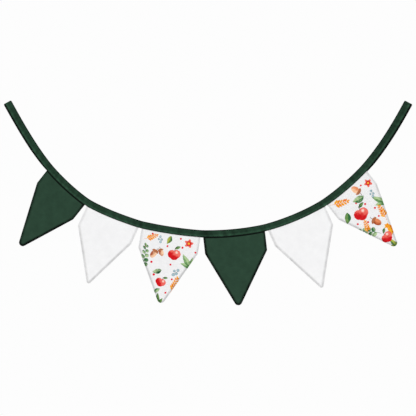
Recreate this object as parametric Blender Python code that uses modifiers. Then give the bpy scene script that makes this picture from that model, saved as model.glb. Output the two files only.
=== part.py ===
"""A fabric bunting: six turned pennants sewn into a folded binding tape that hangs in a swag.

The swag hangs in the XZ plane and is seen from -Y, +Z up, in metres. The origin is the upper
corner of the tape's left end, by which it hangs.
"""

from collections import namedtuple

import bmesh
import bpy
import numpy as np

MM = 0.001

# The swag: height of the tape's upper edge over its lowest part, as terms in x / HALF_SPAN.
HALF_SPAN = 0.5515  # half the distance between the tape's two upper end corners
SWAG_TERMS = (-0.0111, 0.2249, 0.0964, -0.0350, -0.1689, 0.3441, 0.0834, -0.1695)
SWAG_SAMPLES = 2401  # fine steps in which the curve's length is measured
LIFT_EASE = 45  # of these steps, over which a pennant's lift eases in

# Cloth and stitching.
CLOTH = 0.0010  # a panel of pressed cotton with its turned seam allowance
PRESSED = 0.6  # share of that thickness left where the tape grips a panel
LEAF = 0.0010  # one side of the folded tape: the cloth and its turned-in edge
CLEAR = 0.0003  # gap between pieces that touch in the real bunting
RIM_ROUND = 0.00025  # rounding of the panels' edges
RIM_STEPS = 2
RIM_ANGLE = 50  # in degrees: edges sharper than this are rounded
SHARP_ANGLE = 50  # in degrees: edges sharper than this are shaded as edges

# The binding tape.
# Folded width at places along the upper edge, both in millimetres.
TAPE_WIDTHS = (
    (0, 23.2), (143, 22.8), (233, 20.4), (403, 20.0), (623, 19.8), (693, 20.4),
    (903, 19.5), (1013, 19.4), (1063, 20.4), (1118, 20.5), (1218, 23.3), (1406, 23.6),
)
FOLD_ROUND = 0.0014  # depth over which the upper fold rounds off
FOLD_STEPS = 4
LIP_ROUND = 0.0003  # rounding of the tape's two lower edges
STATION_STEP = 0.0125  # spacing of the tape's sections
MOUTH_EASE = 0.0070  # length over which the tape closes beside a pennant
END_HEM = 0.0080  # turned-in cloth at each end of the tape
HEM_EXTRA = 0.0004  # what the turned-in cloth adds to each side
HEM_EASE = 0.0015  # length of the step beside that hem

# The panels.
HEADER_DEPTH = 0.0030  # how far below the tape's fold the panels' raw top edges lie
COLUMNS = 4  # cells across a panel
HEADER_ROWS = 2
SIDE_ROWS = 2
TAPER_ROWS = 5
TIP_STEPS = 5
BOW_DEPTH = 0.35  # share of a panel's drop over which its bow builds up

# Each pennant, in millimetres. start and end are where its sides leave the tape, measured along
# the tape's upper edge from the left; left_side and right_side are its short sides, slant is how
# far their lower corners stand to the right; drop and lean place the point of its two tapers below
# and to the right of its top edge's middle, and tip rounds that point. bow brings its middle
# forward, swing its point, and twist its right side. lift is how far its stiffness holds the
# middle of its stretch of tape above the swag's own curve.
Pennant = namedtuple(
    "Pennant", "cloth start end left_side right_side slant drop lean tip bow swing twist lift"
)
PENNANTS = (
    Pennant("green", 218.7, 354.3, 44.0, 52.1, 3.1, 218.2, 15.0, 9.3, 1.8, 3.0, -1.0, 2.2),
    Pennant("white", 360.8, 513.6, 59.1, 50.7, -2.0, 205.8, 7.6, 6.4, 1.2, -2.0, 1.2, 2.3),
    Pennant("printed", 521.0, 684.5, 54.3, 46.4, -0.6, 210.8, 1.3, 11.2, 2.2, 2.5, 0.6, 1.1),
    Pennant("green", 692.4, 859.8, 46.2, 52.5, 0.7, 208.5, -8.0, 10.1, 1.5, -1.5, -1.4, 1.2),
    Pennant("white", 868.8, 1037.2, 48.1, 55.6, 0.7, 212.9, -10.8, 6.1, 2.0, 3.5, 0.8, 1.1),
    Pennant("printed", 1043.1, 1185.3, 51.4, 42.8, -1.7, 227.3, 2.5, 10.2, 1.4, -2.5, -0.8, 1.9),
)

# Linear colour and roughness of each cloth.
CLOTHS = {
    "green": ((0.026, 0.058, 0.038), 0.85),
    "white": ((0.90, 0.90, 0.91), 0.80),
    "printed": ((0.80, 0.74, 0.68), 0.80),
    "tape": ((0.020, 0.050, 0.032), 0.80),
}


def smooth(share):
    """0 below 0, 1 above 1, and an even S between."""
    share = np.clip(share, 0.0, 1.0)
    return share * share * (3.0 - 2.0 * share)


def swag_height(x):
    share = x / HALF_SPAN
    return sum(term * share ** (power + 1) for power, term in enumerate(SWAG_TERMS))


def lengths_along(x, z):
    return np.concatenate([[0.0], np.cumsum(np.hypot(np.diff(x), np.diff(z)))])


class Swag:
    """The tape's upper edge, measured by its own length from the left end."""

    def __init__(self):
        self.x = np.linspace(-HALF_SPAN, HALF_SPAN, SWAG_SAMPLES)
        plain = swag_height(self.x)
        along = lengths_along(self.x, plain) / MM
        lift = np.zeros_like(plain)
        for row in PENNANTS:
            share = np.clip((along - row.start) / (row.end - row.start), 0.0, 1.0)
            lift += row.lift * MM * 4.0 * share * (1.0 - share)
        self.z = plain + np.convolve(lift, np.ones(LIFT_EASE) / LIFT_EASE, "same")
        self.arc = lengths_along(self.x, self.z)
        self.length = self.arc[-1]
        self.slope = np.gradient(self.z, self.x)

    def upper(self, arc):
        """A point of the upper edge, as x and z from the tape's left upper corner."""
        x = np.interp(arc, self.arc, self.x)
        z = np.interp(arc, self.arc, self.z)
        return np.array([x - self.x[0], z - self.z[0]])

    def down(self, arc):
        """The way from the upper edge to the lower edge."""
        slope = np.interp(np.interp(arc, self.arc, self.x), self.x, self.slope)
        return np.array([slope, -1.0]) / np.hypot(slope, 1.0)

    def width(self, arc):
        places, widths = zip(*TAPE_WIDTHS)
        return np.interp(arc / MM, places, widths) * MM

    def at(self, arc, depth):
        """A point of the tape this far below its upper edge."""
        return self.upper(arc) + self.down(arc) * depth

    def lower(self, arc):
        return self.at(arc, self.width(arc))


def header_half():
    """Half the thickness of the two pressed panels and the gap between them."""
    return CLEAR / 2 + CLOTH * PRESSED


def mouth_half(arc):
    """Half the space inside the folded tape: open round a pennant's header, nearly shut elsewhere."""
    beside = min(
        max(row.start * MM - arc, arc - row.end * MM, 0.0) for row in PENNANTS
    )
    shut = CLEAR / 2
    opened = header_half() + CLEAR
    return opened + (shut - opened) * smooth((beside - CLEAR) / MOUTH_EASE)


def leaf_thickness(arc, length):
    from_end = min(arc, length - arc)
    return LEAF + HEM_EXTRA * (1.0 - smooth((from_end - END_HEM) / HEM_EASE))


def tape_section(width, half, leaf):
    """One section of the folded tape, as depth below the fold and place in Y: up the front,
    over the fold, down the back, and up round the space inside."""
    outer = half + leaf
    turns = [np.pi * step / FOLD_STEPS for step in range(FOLD_STEPS + 1)]
    fold = [(FOLD_ROUND * (1.0 - np.sin(turn)), -outer * np.cos(turn)) for turn in turns]
    return (
        (width - LIP_ROUND, -outer),
        *fold,
        (width - LIP_ROUND, outer),
        (width, outer - LIP_ROUND),
        (width, half + LIP_ROUND),
        (width - LIP_ROUND, half),
        (LEAF + LIP_ROUND, half),
        (LEAF, 0.0),
        (LEAF + LIP_ROUND, -half),
        (width - LIP_ROUND, -half),
        (width, -half - LIP_ROUND),
        (width, -outer + LIP_ROUND),
    )


def tape_stations(swag):
    """Where the tape's sections stand: evenly, and closer where its thickness changes."""
    evenly = int(round(swag.length / STATION_STEP))
    stations = set(np.linspace(0.0, swag.length, evenly + 1))
    for row in PENNANTS:
        for offset in (-MOUTH_EASE, -MOUTH_EASE / 2, -CLEAR):
            stations.add(row.start * MM + offset)
            stations.add(row.end * MM - offset)
    for offset in (END_HEM, END_HEM + HEM_EASE):
        stations.add(offset)
        stations.add(swag.length - offset)
    kept = [0.0]
    for station in sorted(stations):
        if station - kept[-1] > HEM_EASE / 2:
            kept.append(station)
    return kept


def cloth_material(name):
    colour, roughness = CLOTHS[name]
    material = bpy.data.materials.new(f"{name} cotton")
    material.use_nodes = True
    shader = material.node_tree.nodes["Principled BSDF"]
    shader.inputs["Base Color"].default_value = (*colour, 1.0)
    shader.inputs["Roughness"].default_value = roughness
    shader.inputs["Metallic"].default_value = 0.0
    return material


def add_object(name, mesh, material, collection):
    mesh.materials.append(material)
    mesh.shade_smooth()
    mesh.set_sharp_from_angle(angle=np.radians(SHARP_ANGLE))
    piece = bpy.data.objects.new(name, mesh)
    collection.objects.link(piece)
    return piece


def make_tape(swag, material, collection):
    """The folded tape: its sections lofted along the swag, with its two cut ends closed."""
    form = bmesh.new()
    rings = []
    for arc in tape_stations(swag):
        section = tape_section(
            swag.width(arc), mouth_half(arc), leaf_thickness(arc, swag.length)
        )
        ring = []
        for depth, y in section:
            x, z = swag.at(arc, depth)
            ring.append(form.verts.new((x, y, z)))
        rings.append(ring)
    for first, second in zip(rings, rings[1:]):
        count = len(first)
        for i in range(count):
            after = (i + 1) % count
            form.faces.new((first[i], second[i], second[after], first[after]))
    form.faces.new(rings[0])
    form.faces.new(reversed(rings[-1]))
    bmesh.ops.recalc_face_normals(form, faces=form.faces)
    mesh = bpy.data.meshes.new("binding_tape")
    form.to_mesh(mesh)
    form.free()
    return add_object("binding_tape", mesh, material, collection)


def across(first, last, share):
    return first + (last - first) * share


class Pattern:
    """One pennant's outline in the XZ plane, from its corners on the tape to its rounded point."""

    def __init__(self, row, swag):
        self.row = row
        self.swag = swag
        self.start = row.start * MM
        self.end = row.end * MM
        self.top_left = swag.lower(self.start)
        self.top_right = swag.lower(self.end)
        chord = self.top_right - self.top_left
        self.width = np.hypot(*chord)
        self.along = chord / self.width
        self.down = np.array([self.along[1], -self.along[0]])
        self.middle = (self.top_left + self.top_right) / 2
        self.shoulder_left = self.off(self.top_left, row.left_side, row.slant)
        self.shoulder_right = self.off(self.top_right, row.right_side, row.slant)
        self.point = self.off(self.middle, row.drop, row.lean)
        self.round_tip()

    def off(self, point, down, along):
        """A point moved this many millimetres down the pennant and to its right."""
        return point + (self.down * down + self.along * along) * MM

    def round_tip(self):
        """Centre of the point's rounding, and where it meets the two tapers."""
        to_left = self.shoulder_left - self.point
        to_right = self.shoulder_right - self.point
        to_left /= np.hypot(*to_left)
        to_right /= np.hypot(*to_right)
        inward = to_left + to_right
        inward /= np.hypot(*inward)
        half_angle = np.arccos(np.clip(np.dot(to_left, inward), -1.0, 1.0))
        radius = self.row.tip * MM
        self.tip_centre = self.point + inward * radius / np.sin(half_angle)
        reach = radius / np.tan(half_angle)
        self.tip_left = self.point + to_left * reach
        self.tip_right = self.point + to_right * reach

    def tip_arc(self):
        """Points round the tip, from its right taper to its left one, both left out."""
        start = self.tip_right - self.tip_centre
        end = self.tip_left - self.tip_centre
        radius = np.hypot(*start)
        points = []
        for step in range(1, TIP_STEPS):
            share = step / TIP_STEPS
            angle = np.arccos(np.dot(start, end) / radius**2)
            turned = start * np.sin((1 - share) * angle) + end * np.sin(share * angle)
            points.append(self.tip_centre + turned / np.sin(angle))
        return points

    def drop_share(self, point):
        """How far down the pennant a point lies: 0 at the tape, 1 at the point."""
        return np.dot(point - self.top_left, self.down) / (self.row.drop * MM)

    def hang(self, point):
        """How far a point of the free cloth stands from the swag's plane, in Y."""
        low = max(self.drop_share(point), 0.0)
        side = np.dot(point - self.middle, self.along) / (self.width / 2)
        bow = self.row.bow * (1.0 - side**2) * smooth(low / BOW_DEPTH) * (1.0 - low)
        swing = self.row.swing * low**2
        twist = self.row.twist * side * low
        return -(bow + swing + twist) * MM

    def rows(self):
        """The panel's rows of points from its raw edge down, each with 0 in the tape, 1 below it."""
        shares = [i / COLUMNS for i in range(COLUMNS + 1)]
        arcs = [across(self.start, self.end, share) for share in shares]
        edge = [self.swag.lower(arc) for arc in arcs]
        found = []
        for i in range(HEADER_ROWS):
            share = i / HEADER_ROWS
            row = []
            for arc, low in zip(arcs, edge):
                row.append(across(self.swag.at(arc, HEADER_DEPTH), low, share))
            found.append((row, 0.0))
        found.append((edge, 0.0))
        shoulder = [
            across(self.shoulder_left, self.shoulder_right, share) for share in shares
        ]
        for i in range(1, SIDE_ROWS + 1):
            share = i / SIDE_ROWS
            row = [across(high, low, share) for high, low in zip(edge, shoulder)]
            found.append((row, 1.0))
        for i in range(1, TAPER_ROWS + 1):
            share = i / TAPER_ROWS
            left = across(self.shoulder_left, self.tip_left, share)
            right = across(self.shoulder_right, self.tip_right, share)
            found.append(([across(left, right, part) for part in shares], 1.0))
        return found


def make_panel(name, pattern, side, material, collection):
    """One panel of a pennant: side is -1 for the front and 1 for the back."""
    form = bmesh.new()
    weights = form.verts.layers.deform.verify()
    inner = side * CLEAR / 2

    def add_point(point, free):
        y = inner + pattern.hang(point) * free
        vert = form.verts.new((point[0], y, point[1]))
        vert[weights][0] = PRESSED + (1.0 - PRESSED) * free
        return vert

    grid = []
    for row, free in pattern.rows():
        grid.append([add_point(point, free) for point in row])
    for upper, lower in zip(grid, grid[1:]):
        for i in range(COLUMNS):
            form.faces.new((upper[i], lower[i], lower[i + 1], upper[i + 1]))
    tip = [add_point(point, 1.0) for point in pattern.tip_arc()]
    form.faces.new(grid[-1] + tip)
    bmesh.ops.recalc_face_normals(form, faces=form.faces)
    form.normal_update()
    form.faces.ensure_lookup_table()
    if form.faces[0].normal.y * side < 0:
        bmesh.ops.reverse_faces(form, faces=form.faces)
    bmesh.ops.triangulate(form, faces=form.faces)
    mesh = bpy.data.meshes.new(name)
    form.to_mesh(mesh)
    form.free()
    panel = add_object(name, mesh, material, collection)
    panel.vertex_groups.new(name="thickness")

    shell = panel.modifiers.new("cloth thickness", "SOLIDIFY")
    shell.thickness = CLOTH
    shell.offset = 1.0
    shell.vertex_group = "thickness"
    shell.use_even_offset = True

    rim = panel.modifiers.new("soft rim", "BEVEL")
    rim.width = RIM_ROUND
    rim.segments = RIM_STEPS
    rim.limit_method = "ANGLE"
    rim.angle_limit = np.radians(RIM_ANGLE)
    return panel


def make_bunting():
    for old in list(bpy.data.objects):
        bpy.data.objects.remove(old, do_unlink=True)
    collection = bpy.data.collections.new("fabric bunting")
    bpy.context.scene.collection.children.link(collection)
    materials = {name: cloth_material(name) for name in CLOTHS}
    swag = Swag()
    make_tape(swag, materials["tape"], collection)
    for number, row in enumerate(PENNANTS, start=1):
        pattern = Pattern(row, swag)
        for side_name, side in (("front", -1), ("back", 1)):
            name = f"pennant_{number}_{side_name}"
            make_panel(name, pattern, side, materials[row.cloth], collection)


make_bunting()
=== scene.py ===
import math

import bpy
import numpy as np
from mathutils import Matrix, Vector, noise


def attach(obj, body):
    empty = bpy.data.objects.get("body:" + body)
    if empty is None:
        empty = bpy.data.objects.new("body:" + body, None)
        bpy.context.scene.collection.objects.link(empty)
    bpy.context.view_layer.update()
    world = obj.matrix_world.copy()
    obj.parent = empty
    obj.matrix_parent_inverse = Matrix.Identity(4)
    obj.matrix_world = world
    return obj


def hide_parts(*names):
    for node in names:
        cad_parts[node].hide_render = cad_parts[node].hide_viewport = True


# Looks of a sewn bunting: six turned pennants in a folded binding that hangs in a swag.
# Metres, +Z up, seen from -Y. The origin is the upper corner of the binding's left end.

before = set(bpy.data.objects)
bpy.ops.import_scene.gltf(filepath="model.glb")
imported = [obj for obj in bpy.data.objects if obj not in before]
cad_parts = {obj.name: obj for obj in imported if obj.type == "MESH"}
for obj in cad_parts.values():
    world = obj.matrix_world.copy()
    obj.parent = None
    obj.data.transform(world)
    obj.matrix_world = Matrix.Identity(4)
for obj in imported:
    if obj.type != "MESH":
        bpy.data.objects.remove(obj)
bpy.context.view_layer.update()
mm = 0.001
front, back = -1, 1  # which way along Y each side faces
print("frame loaded:", len(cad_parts), "nodes")


def smooth(share):
    share = np.clip(share, 0.0, 1.0)
    return share * share * (3.0 - 2.0 * share)


def bump(distance, reach):
    # 1 at the middle, falling to 0 at reach on both sides
    return 1.0 - smooth(np.abs(distance) / reach)


def rounded(share):
    # rises from 0 to 1 along a quarter of a circle
    return np.sqrt(1.0 - (1.0 - np.clip(share, 0.0, 1.0)) ** 2)


def ink(red, green, blue):
    # a colour given in screen values, as Blender's linear ones
    linear = []
    for level in (red, green, blue):
        level = level / 255
        linear.append(level / 12.92 if level <= 0.04045 else ((level + 0.055) / 1.055) ** 2.4)
    return (*linear, 1.0)


def addObject(name, data, location=(0.0, 0.0, 0.0)):
    made = bpy.data.objects.new(name, data)
    made.location = location
    bpy.context.scene.collection.objects.link(made)
    return made


def buildMesh(name, points, faces, grain, marks, material):
    # grain is each point's place on the flat cloth. Marks are numbers at each point: fromEdge is how
    # far it lies from a turned edge, fromCrease how far from where it goes into shade under other
    # cloth, the tape's painted-shading mark how much lighter (or below 0, darker) it is painted, as
    # painted light on ridges and painted shade in troughs, puckers and kinks, and rim how
    # deep in shade its nearest edge lies
    mesh = bpy.data.meshes.new(name)
    mesh.from_pydata([tuple(point) for point in points], [], faces)
    mesh.validate()
    corners = np.empty(len(mesh.loops), int)
    mesh.loops.foreach_get("vertex_index", corners)
    layer = mesh.uv_layers.new(name="grain")
    layer.data.foreach_set("uv", np.asarray(grain, np.float32)[corners].ravel())
    for label, values in marks.items():
        layer = mesh.attributes.new(label, "FLOAT", "POINT")
        layer.data.foreach_set("value", np.asarray(values, np.float32))
    mesh.shade_smooth()
    mesh.materials.append(material)
    return addObject(name, mesh)


# Pennants: where each is cut and how it hangs, in millimetres. start and end lie along the tape,
# sides are the two short edges, slant leans them, drop and lean place the point, tip rounds it, and
# bow, swing and twist bring cloth forward. lift is how far its stiffness holds the middle of its
# stretch of tape above the swag's own curve. rims is how deep the left side, the left taper, the
# right taper and the right side lie in shade. full is how far the turned edge stands out past the
# frame's. parts says which part of the printed cloth the front and the back panel are cut from.

pennantCuts = (
    dict(cloth="green", start=218.7, end=354.3, sides=(44.0, 52.1), slant=3.1, drop=218.2,
         lean=15.0, tip=9.3, bow=1.8, swing=3.0, twist=-1.0, lift=2.2,
         rims=(0.35, 0.7, 1.05, 0.85), full=1.2),
    dict(cloth="white", start=360.8, end=513.6, sides=(59.1, 50.7), slant=-2.0, drop=205.8,
         lean=7.6, tip=6.4, bow=1.2, swing=-2.0, twist=1.2, lift=2.3,
         rims=(0.45, 0.95, 1.15, 0.8)),
    dict(cloth="printed", start=521.0, end=684.5, sides=(54.3, 46.4), slant=-0.6, drop=210.8,
         lean=1.3, tip=11.2, bow=2.2, swing=2.5, twist=0.6, lift=1.1,
         rims=(0.5, 1.0, 1.0, 0.65), parts=("first", "second")),
    dict(cloth="green", start=692.4, end=859.8, sides=(46.2, 52.5), slant=0.7, drop=208.5,
         lean=-8.0, tip=10.1, bow=1.5, swing=-1.5, twist=-1.4, lift=1.2,
         rims=(0.95, 1.0, 1.0, 0.85), full=0.9),
    dict(cloth="white", start=868.8, end=1037.2, sides=(48.1, 55.6), slant=0.7, drop=212.9,
         lean=-10.8, tip=6.1, bow=2.0, swing=3.5, twist=0.8, lift=1.1,
         rims=(0.8, 1.05, 1.0, 0.6)),
    dict(cloth="printed", start=1043.1, end=1185.3, sides=(51.4, 42.8), slant=-1.7, drop=227.3,
         lean=2.5, tip=10.2, bow=1.4, swing=-2.5, twist=-0.8, lift=1.9,
         rims=(0.55, 1.0, 0.8, 0.55), parts=("second", "first")),
)

# The swag, as the frame hangs.

swag = {
    "halfSpan": 0.5515,
    # height in powers of x / halfSpan
    "terms": (-0.0111, 0.2249, 0.0964, -0.0350, -0.1689, 0.3441, 0.0834, -0.1695),
    "steps": 2400,
    "liftEase": 45,  # of these steps, over which a pennant's lift eases in
}


def lengthsAlong(x, z):
    return np.concatenate([[0.0], np.cumsum(np.hypot(np.diff(x), np.diff(z)))])


swagX = np.linspace(-swag["halfSpan"], swag["halfSpan"], swag["steps"] + 1)
swagShare = swagX / swag["halfSpan"]
plainZ = sum(term * swagShare ** (power + 1) for power, term in enumerate(swag["terms"]))
plainArc = lengthsAlong(swagX, plainZ)
lifted = np.zeros(len(swagX))
for cut in pennantCuts:
    share = np.clip((plainArc / mm - cut["start"]) / (cut["end"] - cut["start"]), 0.0, 1.0)
    lifted += cut["lift"] * mm * 4.0 * share * (1.0 - share)
swagZ = plainZ + np.convolve(lifted, np.ones(swag["liftEase"]) / swag["liftEase"], "same")
swagArc = lengthsAlong(swagX, swagZ)
swagSlope = np.gradient(swagZ, swagX)
tapeLength = swagArc[-1]


def swagAt(arc, depth):
    # points this far below the tape's upper edge, as x and z
    arc = np.asarray(arc, float)
    slope = np.interp(arc, swagArc, swagSlope)
    down = np.stack([slope, -np.ones_like(slope)], -1) / np.hypot(slope, 1.0)[..., None]
    x = np.interp(arc, swagArc, swagX) - swagX[0]
    z = np.interp(arc, swagArc, swagZ) - swagZ[0]
    return np.stack([x, z], -1) + down * np.asarray(depth, float)[..., None]


pennantForm = {
    "clear": 0.3 * mm,  # gap between the two panels, and round them in the tape
    "panel": 1.0 * mm,  # cloth and its turned seam allowance
    "pressed": 0.6,  # share of that inside the tape
    "rim": 2.4 * mm,  # width over which a turned edge rolls over
    "allowance": 6.5 * mm,  # turned-in cloth behind the edge
    "allowanceRise": 0.16 * mm,
    "allowanceEase": 1.3 * mm,
    "headerDepth": 3.0 * mm,
    "mouthFill": 5.0 * mm,  # below the tape, where the cloth regains its thickness
    "bowDepth": 0.35,  # share of the drop over which the bow comes in
    "ripple": 0.35 * mm,  # soft unevenness of the hanging cloth
    "rippleDepth": 0.2,  # share of the drop over which it comes in
    "rippleSize": 40 * mm,
    "rippleFiner": 2.7,  # how many times smaller the second layer's ripples are
    "rippleFinerShare": 0.3,
    "rippleApart": 0.37,  # sets the pennants' ripples apart from each other
    "seamCut": 7.0 * mm,  # allowance when cut flat
    "middleEase": 20 * mm,  # over which the shade of the left edge turns into the right one's
    "shoulderEase": 6 * mm,  # and that of a side into its taper's
    "mouthSteps": 60,
    "headerRows": 5,
    "sideRows": 20,
    "sideEase": 1.15,  # crowds the side rows towards the tape
    "taperRows": 54,
    "tipRows": 11,
    "rimColumns": 6,
    "allowanceColumns": (3.1, 4.1, 5.3, 6.2, 6.9, 7.8, 9.5),  # mm from the edge
    "narrow": 24 * mm,  # a row under this width has those columns closer together
    "middleColumns": 24,
}


# The binding tape.

stitchAbove = 2.3 * mm  # stitch line over the front leaf's lower edge

tapeForm = {
    # folded width at places along the tape, both in mm; on the arms the front leaf is narrower,
    # so that the back one shows below it
    "backWidths": ((0, 23.8), (143, 23.4), (193, 22.3), (219, 20.8), (233, 20.4), (403, 20.0),
                   (623, 19.8), (693, 20.4), (903, 19.5), (1013, 19.4), (1063, 20.4), (1118, 20.5),
                   (1218, 24.1), (1406, 24.5)),
    "frontWidths": ((0, 20.1), (113, 19.9), (193, 19.2), (243, 19.8), (343, 20.0), (403, 20.0),
                    (623, 19.8), (693, 19.2), (853, 18.8), (903, 19.5), (1013, 19.4), (1063, 20.4),
                    (1118, 20.6), (1185, 20.6), (1218, 20.0), (1406, 20.1)),
    # painted shade and light across the tape where it kinks, and slow changes of tone, in mm: place,
    # strength (below 0 dark), and how far it reaches to the left and to the right
    "creases": ((357.0, -0.5, 5.0, 6.0), (437.0, 0.3, 75.0, 80.0), (516.0, -0.55, 5.0, 16.0),
                (600.0, 0.12, 70.0, 70.0), (675.0, 0.5, 8.0, 6.0), (684.0, -0.95, 4.0, 56.0),
                (790.0, -0.3, 70.0, 70.0), (863.0, -0.8, 5.0, 5.0), (950.0, 0.2, 75.0, 75.0),
                (1031.0, -1.0, 7.0, 7.0), (1100.0, 0.35, 60.0, 60.0), (1141.0, -1.4, 8.0, 7.0),
                (1310.0, -0.3, 120.0, 80.0)),
    # across the tape, in mm: how far the outer ply stands out, how far above the lower edge, and
    # over what reach. The lower half is padded by the turned-in edge, the stitches press in, and
    # above lies a trough
    "relief": ((0.30, 4.2, 5.5), (-0.16, stitchAbove / mm, 1.1), (-0.22, 11.0, 5.0)),
    # painted light and shade, in the same way: painted light along the padded half, painted shade in
    # the trough
    "paintedShadingBands": ((1.2, 4.1, 4.2), (-0.22, 10.0, 4.5)),
    # small waves that the stitching draws up, in two layers: length along the tape, slant, length
    # across, a number that tells the two sides apart, and the layer's share
    "puckers": ((11.5, 30.0, 30.0, 7.0, 1.0), (5.0, -14.0, 9.0, 3.0, 0.5)),
    "pucker": 0.34 * mm,
    "puckerEase": 2 * mm,
    "puckerShadingBand": (4.0, 7.0),  # where the puckers' painted light and shade is strongest, and over what reach, in mm
    "puckerDark": -0.4,  # the darkest painted shade that a trough between two of them gets
    "ply": 0.42 * mm,
    "plyGap": 0.16 * mm,
    "shut": 0.15 * mm,  # half the space inside where there is no pennant
    "mouthEase": 9.0 * mm,
    "foldReach": 1.5 * mm,
    "foldEase": 2 * mm,
    "foldRise": 0.5 * mm,  # how far the soft fold stands over the frame's sharper one
    "foldSteps": 10,
    "turnedIn": 10.0 * mm,  # how far the turned-in edge runs up inside
    "turnedInRows": (0.0, 0.45, 0.9),
    "turnSteps": 5,
    "leafRows": (0.3, 0.7, 1.1, 1.5, 1.9, 2.3, 2.7, 3.2, 4.0, 5.2, 6.8, 8.6, 10.4, 12.2, 14.0,
                 15.8),  # mm up from where the lower edge's turn ends
    "bulk": 0.30 * mm,  # what a pennant's own seams add inside the tape
    "bulkWidth": 7.0 * mm,
    "endHem": 8.0 * mm,
    "endRound": 3.2 * mm,  # the corners of the turned ends
    "endTaper": 0.55 * mm,  # where a ply thins at the very end, down to endThin of itself
    "endThin": 0.25,
    "endStations": (0.06, 0.18, 0.35, 0.6, 1.0, 1.6, 3.2, 7.6, 8.2, 8.7, 9.3),  # mm from each end
    "hemEase": 1.4 * mm,
    "hemPly": 0.17 * mm,  # what the end hem adds to a ply
    "station": 2.4 * mm,
    "cutWidth": 80 * mm,
    "far": 9 * mm,  # the mark of what lies well away from an edge or a crease
}

stitchForm = {
    "pitch": 3.1 * mm,
    "length": 2.65 * mm,
    "radius": 0.19 * mm,
    "sides": 6,
    # places along a stitch, and how deep in the cloth it lies there, in mm
    "sink": ((0.0, 0.32), (0.1, 0.02), (0.3, -0.09), (0.7, -0.09), (0.9, 0.02), (1.0, 0.32)),
    "endClear": 1.5 * mm,
    "hemRow": 6.4 * mm,  # the row across each end hem, from the tape's end
    "hemStart": 0.1,  # of a pitch, over the long row
    "hemClear": 2 * mm,  # below the fold
}


def leafWidth(arc, side):
    places, widths = zip(*tapeForm["frontWidths" if side == front else "backWidths"])
    return np.interp(np.asarray(arc) / mm, places, widths) * mm


def innerHalf(arc):
    # half the space inside the fold: open round each pennant's header
    arc = np.asarray(arc, float)
    beside = np.full(arc.shape, 1.0)
    bulk = np.zeros(arc.shape)
    reach = tapeForm["bulkWidth"] / 2
    for cut in pennantCuts:
        outside = np.maximum(cut["start"] * mm - arc, arc - cut["end"] * mm)
        beside = np.minimum(beside, np.maximum(outside, 0.0))
        bulk = np.maximum(bulk, bump(outside + reach, reach))
    gaps = 1.5 * pennantForm["clear"]  # half the one between the panels, and the one beside them
    opened = gaps + pennantForm["panel"] * pennantForm["pressed"] + tapeForm["bulk"] * bulk
    eased = smooth((beside - pennantForm["clear"]) / tapeForm["mouthEase"])
    return opened + (tapeForm["shut"] - opened) * eased


def fromEnds(arc):
    return np.minimum(arc, tapeLength - arc)


def plyAt(arc):
    # one ply of the strip: thicker at the end hems, rounded off at the very ends
    hemmed = 1.0 - smooth((fromEnds(arc) - tapeForm["endHem"]) / tapeForm["hemEase"])
    thin = tapeForm["endThin"]
    tapered = thin + (1.0 - thin) * rounded(fromEnds(arc) / tapeForm["endTaper"])
    return (tapeForm["ply"] + tapeForm["hemPly"] * hemmed) * tapered


def roundedEnd(arc, depth, width):
    # draws the section's upper and lower edge in where the end's corners are rounded
    pulled = tapeForm["endRound"] * (1.0 - rounded(fromEnds(arc) / tapeForm["endRound"]))
    return pulled + depth * (1.0 - 2.0 * pulled / width)


def tapePucker(arc, above, side):
    pucker = 0.0
    for long, slant, high, seed, share in tapeForm["puckers"]:
        along = arc / (long * mm) + above / (slant * mm)
        pucker += share * noise.noise(Vector((along, side * seed, above / (high * mm))))
    return pucker


def tapeRelief(arc, above, side):
    # how far the outer ply stands out
    relief = sum(rise * bump(above / mm - at, reach) for rise, at, reach in tapeForm["relief"]) * mm
    waves = tapePucker(arc, above, side) * tapeForm["pucker"]
    return relief + waves * smooth(above / tapeForm["puckerEase"])


def tapePaintedShading(arc, above, side):
    # painted light on the padded ridge and on pucker crests, painted shade in the trough and between
    # puckers, and painted marks of light and shade at kinks
    paintedShading = sum(strength * bump(above / mm - at, reach) for strength, at, reach in tapeForm["paintedShadingBands"])
    at, reach = tapeForm["puckerShadingBand"]
    pucker = max(tapePucker(arc, above, side), tapeForm["puckerDark"])
    paintedShading += pucker * (1.0 + bump(above / mm - at, reach))
    for at, strength, toLeft, toRight in tapeForm["creases"]:
        past = arc / mm - at
        paintedShading += strength * bump(past, toRight if past > 0 else toLeft)
    return paintedShading


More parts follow.
